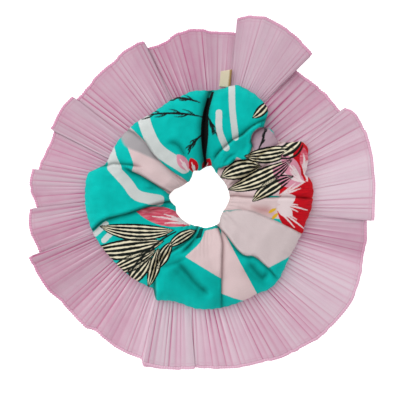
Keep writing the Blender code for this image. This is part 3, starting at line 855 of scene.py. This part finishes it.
# Painted light and shade round the frill, which sets how pale the cloth looks: (azimuth, share), from 0,
# painted in shade, to 1, painted lit. The top and left are painted in shade and the right and bottom lit,
# with a shaded crease painted at 341 degrees.
PAINTED_LIGHT_AND_SHADE = (
    (0, 0.9), (20, 0.7), (40, 0.35), (55, 0.3), (70, 0.45), (85, 0.15), (105, 0.05), (120, 0.3),
    (150, 0.25), (170, 0.35), (195, 0.3), (212, 0.12), (222, 0.5), (240, 0.6), (250, 0.85), (262, 0.9),
    (280, 0.8), (300, 0.7), (320, 0.75), (337, 0.9), (341, 0.35), (348, 0.4), (352, 0.7),
)
# The usual height of a panel's edge. What PANELS has over that is brought down to this share of it.
USUAL_HEIGHT = 2.2
PANEL_LIFT = 0.36
FRILL_LOWEST_POINT = 0.9
# The strip's path is a table with a step of this many millimetres, smoothed over this distance.
PATH_STEP = 0.1
PATH_SOFTNESS = 0.45
FRILL_ROWS = 26
# The last rows of the frill's grid, as distances in from its edge.
EDGE_ROWS = (3.0, 2.4, 1.9, 1.5, 1.1, 0.6, 0.0)
# How far inside the seam the frill starts, and its thickness.
FRILL_START = 0.6
VOILE = 0.22
# The hem's half-width and half-thickness, the corners of its section, and the run of one stitch.
HEM_SIZE = (0.85, 0.3)
HEM_SIDES = 8
STITCH = 1.3


def strip_path():
    """The strip's run along its hem: the lengths so far, and a table with rows of the outer azimuth, inner
    azimuth, radius and height at each."""
    knots = []
    for outer, inner_first, inner_last in PANELS:
        first, last = outer[0][0], outer[-1][0]
        for azimuth, radius, *height in outer:
            inner = inner_first + (azimuth - first) / (last - first) * (inner_last - inner_first)
            knots.append((azimuth, inner, radius, *(height or [USUAL_HEIGHT])))
    knots = np.array(knots, float)
    above = knots[:, 3] - USUAL_HEIGHT
    knots[:, 3] = USUAL_HEIGHT + above * np.where(above > 0, PANEL_LIFT, 1)
    plan = polar(knots[:, 2], knots[:, 0])
    run = np.concatenate([[0], np.cumsum(np.hypot(*np.diff(plan, axis=0).T))])
    fine = np.arange(0, run[-1], PATH_STEP)
    table = np.stack([np.interp(fine, run, column) for column in knots.T])
    padded = np.pad(table, ((0, 0), (BELL_REACH, BELL_REACH)), mode="edge")
    weights = bell(PATH_STEP, PATH_SOFTNESS)
    return fine, sum(w * padded[:, k:k + table.shape[1]] for k, w in enumerate(weights))


def frill_points():
    """The frill's grid of points, what its material reads at each, and where each is on the strip."""
    rng = np.random.default_rng(11)
    fine, table = strip_path()
    widths = []
    while sum(widths) < fine[-1] - PLEAT_WIDTH:
        widths.append(PLEAT_WIDTH * rng.uniform(0.62, 1.38))
    starts = np.concatenate([[0], np.cumsum(widths)[:-1]])
    strengths = 0.1 + 0.9 * rng.uniform(0, 1, len(widths)) ** 1.4
    longest = 7 + 40 * rng.uniform(0, 1, len(widths)) ** 1.8
    share, height, depth, light = np.array(PLEAT_PROFILE).T
    run = (starts[:, None] + np.array(widths)[:, None] * share).ravel()
    pleat = (strengths[:, None] * height).ravel()
    valley = (strengths[:, None] * depth).ravel()
    ragged = np.repeat(rng.uniform(-0.25, 0.25, len(widths)), len(share))
    crest = (rng.uniform(0, 1, len(widths))[:, None] ** 1.5 * light).ravel()
    longest = np.repeat(longest, len(share))
    keep = run < fine[-1]
    columns = run, pleat, valley, ragged, crest, longest
    run, pleat, valley, ragged, crest, longest = (column[keep] for column in columns)
    outer, inner, radius, level = (np.interp(run, fine, row) for row in table)
    seam = read_loop(COVER_OUTLINE, inner % 360) - SEAM_SET_IN
    start = polar(seam - FRILL_START, inner)
    end = polar(radius - HEM_SIZE[0] + ragged, outer)
    length = np.hypot(*(end - start).T)[:, None]
    rows = np.linspace(0, 1, FRILL_ROWS) ** 0.92
    reach = np.concatenate([rows * (length - EDGE_ROWS[0]), length - np.array(EDGE_ROWS[1:])], axis=1)
    out = reach / length
    plan = start[:, None] + (end - start)[:, None] * out[..., None]
    slow = np.sin(outer * 0.31) * 0.5 + np.sin(outer * 0.73 + 1) * 0.35 + np.sin(outer * 0.127 + 2) * 0.5
    raised = np.clip((level - 2.0) / 3.0, 0, 1)
    base = SEAM_HEIGHT + 0.12 + 0.35 * raised
    z = base[:, None] + (level - base)[:, None] * out**1.25 + slow[:, None] * out * 0.8
    crowd = np.interp(outer % 360, *np.array(CROWDED).T, period=360)[:, None]
    shade = np.interp(outer % 360, *np.array(PAINTED_LIGHT_AND_SHADE).T, period=360)[:, None]
    # Each pleat stands highest a few millimetres out of the seam, and fades as it nears the hem.
    fade = np.exp(-((reach / (longest[:, None] * (0.7 + 0.8 * crowd))) ** 2))
    z = z + pleat[:, None] * (0.07 + 0.2 * fade * smooth_step(-2, 6, reach))
    # Broad soft waves of leaning pleats, and which of the pleats' lines show.
    wave = np.arange(0, run[-1] + 6, 6)
    lean = np.interp(run, wave, rng.uniform(0, 1, len(wave)))[:, None]
    near = np.exp(-reach / 12)
    # Painted shade beside the cover on the frill's shaded side makes the band a stronger pink there; on the
    # lit side the band is paler beside the cover.
    band = np.clip((0.1 + 0.9 * lean) * (0.35 + 0.5 * crowd) + near * (0.3 - 0.5 * shade), 0, 1)
    # Crease strength: partly the cloth folded double, partly painted shade in the crease.
    crease = np.clip(valley[:, None] * (0.34 + 0.8 * fade) * (0.5 + 1.0 * crowd), 0, 1)
    # The ridges are painted highlights: along the pleats' crests, and beside the cover on the frill's lit
    # side, where the cover would shade it.
    mid_frill = 0.2 + 0.8 * np.exp(-(((reach - 8) / 10) ** 2))
    ridge = 0.4 * near * shade + crest[:, None] * mid_frill * (0.4 + 0.8 * crowd)
    stitched = np.exp(-(((length - reach - 1.5) / 0.35) ** 2))
    looks = {"crease": crease, "band": band, "ridge": ridge, "stitched": stitched,
             "shade": np.broadcast_to(shade, reach.shape)}
    points = np.concatenate([plan, z[..., None]], axis=-1)
    points[..., 2] = np.maximum(points[..., 2], FRILL_LOWEST_POINT)
    return points, looks, cloth_vectors(run[:, None], reach)


def hem_points(edge, inner, shade):
    """A flat band of stitches along the frill's edge, from the last and an earlier row of its points: the
    band's grid of points, its cloth's places, and its shade, the painted light and shade that it takes from
    the frill."""
    run = np.concatenate([[0], np.cumsum(np.linalg.norm(np.diff(edge, axis=0), axis=1))])
    where = np.arange(0, run[-1], STITCH / 3)
    centre = np.stack([np.interp(where, run, edge[:, i]) for i in range(3)], axis=1)
    outward = np.stack([np.interp(where, run, (edge - inner)[:, i]) for i in range(3)], axis=1)
    outward /= np.linalg.norm(outward, axis=1, keepdims=True)
    up = np.array((0, 0, 1))
    stitch = (1 + 0.16 * np.cos(2 * np.pi * where / STITCH))[:, None, None]
    turn = np.linspace(0, 2 * np.pi, HEM_SIDES + 1)
    ring = (centre[:, None] + outward[:, None] * (HEM_SIZE[0] * (0.75 + np.cos(turn)))[:, None] * stitch
            + up * (HEM_SIZE[1] * np.sin(turn))[:, None] * stitch)
    cloth = cloth_vectors(where[:, None] + 0.25 * np.cos(turn), np.cos(turn))
    return ring, cloth, np.broadcast_to(np.interp(where, run, shade)[:, None], ring.shape[:2])


# ---- label
# The hinge's radius, azimuth and height, the way that the label points, its length and width, the gap
# between its two layers, and its thickness.
LABEL_HINGE = (57.4, 77.5, 10.45)
LABEL_DIRECTION = 84
LABEL_SIZE = (7.4, 5.5)
LABEL_LAYERS = 0.5
LABEL_TAPE = 0.28


def label_points():
    """A woven tape folded in half, from its lower end round the fold to its upper end: its grid of points,
    and where each is on the flat tape."""
    length, width = LABEL_SIZE
    half = LABEL_LAYERS / 2
    along = np.linspace(-0.9, length - half, 14)
    turn = np.radians(np.linspace(-90, 90, 9))[1:-1]
    out = np.concatenate([along, length - half + half * np.cos(turn), along[::-1]])
    up = np.concatenate([np.full(14, -half), half * np.sin(turn), np.full(14, half)])
    side = np.linspace(-width / 2, width / 2, 12)
    lift = 0.05 * np.maximum(out, 0)
    corner = 0.22 * (np.abs(side) / (width / 2)) ** 3
    share = np.clip(out / length, 0, 1)
    grid_out = out + (side / width * -1.6)[:, None] * share
    grid_up = up + lift + corner[:, None] * share**2
    angle = math.radians(LABEL_DIRECTION)
    ahead = np.array((math.cos(angle), math.sin(angle)))
    left = np.array((-ahead[1], ahead[0]))
    plan = polar(*LABEL_HINGE[:2]) + grid_out[..., None] * ahead + side[:, None, None] * left
    points = np.concatenate([plan, (LABEL_HINGE[2] + grid_up)[..., None]], axis=-1)
    run = np.concatenate([[0], np.cumsum(np.hypot(np.diff(out), np.diff(up)))])
    return points, cloth_vectors(side[:, None], run)


def label_material():
    material, tree, shader = new_material("label_tape", roughness=0.55, sheen=0.3)
    cloth = attribute(tree, "cloth", "Vector")
    side = add(tree, "SeparateXYZ", {0: cloth}).outputs[0]
    wander = maths(tree, "MULTIPLY_ADD", noise(tree, cloth, 1.4), 0.5, -0.25)
    gold = ramp(tree, maths(tree, "ADD", side, wander), -1.3, -2.1)
    colour = mix(tree, gold, linear(228, 214, 186), linear(164, 130, 80))
    ribs = weave(tree, cloth, LABEL_PITCH)
    # The tape is painted darker between its ribs: painted shade.
    colour = toned(tree, colour, maths(tree, "MULTIPLY_ADD", ribs, 0.22, 0.82))
    set_inputs(shader, {"Base Color": colour})
    bump(tree, shader, ribs, 0.1)
    return material


# ---- build
points, cloth, painted_fold_shade = cover_points()
cloth = cloth.reshape(-1, 2)
fields = {"cloth": cloth_vectors(*cloth.T), "painted_fold_shade": painted_fold_shade, **print_fields(cloth)}
cover = cloth_piece("printed_cover", points, cotton_material(), fields, COVER_CLOTH, closed=True)
points, looks, cloth = frill_points()
frill = cloth_piece("voile_frill", points, voile_material(), {"cloth": cloth, **looks}, VOILE)
ring, cloth, shade = hem_points(points[:, -1], points[:, -3], looks["shade"][:, -1])
hem = cloth_piece("overlocked_hem", ring, hem_material(), {"cloth": cloth, "shade": shade})
points, cloth = label_points()
label = cloth_piece("folded_label", points, label_material(), {"cloth": cloth}, LABEL_TAPE)

for piece, body, node, slot in (
    (cover, "ring", "fabric_cover", "printed_cotton"),
    (frill, "ring", "pleated_frill", "pleated_voile"),
    (hem, "ring", "frill_hem_thread", "hem_thread"),
    (label, "label", "woven_label", "label_tape"),
):
    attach(piece, body)
    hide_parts(node)

# The pieces inside: node, material, colour, the darker colour between its ribs that is painted shade, the
# ribs' scale, and their turn.
for node, name, colour, dark, scale, turn in (
    ("elastic_band", "braided_elastic", (232, 232, 226), (176, 176, 168), 350, 0),
    ("elastic_join_stitches", "elastic_thread", (224, 222, 214), (160, 158, 150), 900, 0.7),
    ("seam_thread", "seam_thread", (10, 180, 170), (4, 120, 112), 900, 0.7),
    ("closing_stitches", "closing_thread", (12, 170, 160), (4, 112, 106), 900, 0.7),
):
    material = rib_material(name, linear(*colour), linear(*dark), scale, turn)
    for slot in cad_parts[node].material_slots:
        slot.material = material

# ---- studio
# In metres, but for the camera's sensor, which is in millimetres.
CAMERA_HEIGHT = 1.0
FRAME_WIDTH = 0.2
SUBJECT_HEIGHT = 0.01
FLOOR_HEIGHT = -0.0003
SENSOR_WIDTH = 36

floor_mesh = bpy.data.meshes.new("floor")
floor_mesh.from_pydata([(-3, -3, 0), (3, -3, 0), (3, 3, 0), (-3, 3, 0)], [], [(0, 1, 2, 3)])
floor = put_in_scene("floor", floor_mesh)
floor.location.z = FLOOR_HEIGHT
material, tree, shader = new_material("pale_floor", roughness=0.9, specular=0.1)
set_inputs(shader, {"Base Color": (0.92, 0.92, 0.92, 1), "Emission Color": (1, 1, 1, 1),
                    "Emission Strength": 0.75})
floor_mesh.materials.append(material)

world = bpy.data.worlds.new("studio")
world.use_nodes = True
set_inputs(world.node_tree.nodes["Background"], {"Color": (1, 1, 1, 1), "Strength": 0.72})
bpy.context.scene.world = world
key = bpy.data.lights.new("key", "SUN")
key.energy = 1.7
key.angle = math.radians(70)
key_object = put_in_scene("key", key)
key_object.rotation_euler = Vector((1.0, -0.9, -1.5)).to_track_quat("-Z", "Y").to_euler()

camera_data = bpy.data.cameras.new("camera")
camera_data.sensor_width = SENSOR_WIDTH
camera_data.lens = SENSOR_WIDTH * (CAMERA_HEIGHT - SUBJECT_HEIGHT) / FRAME_WIDTH
camera = put_in_scene("camera", camera_data)
camera.location = (*to_world((0, -1.25, 0))[:2], CAMERA_HEIGHT)
bpy.context.scene.camera = camera
bpy.context.scene.view_settings.view_transform = "Standard"
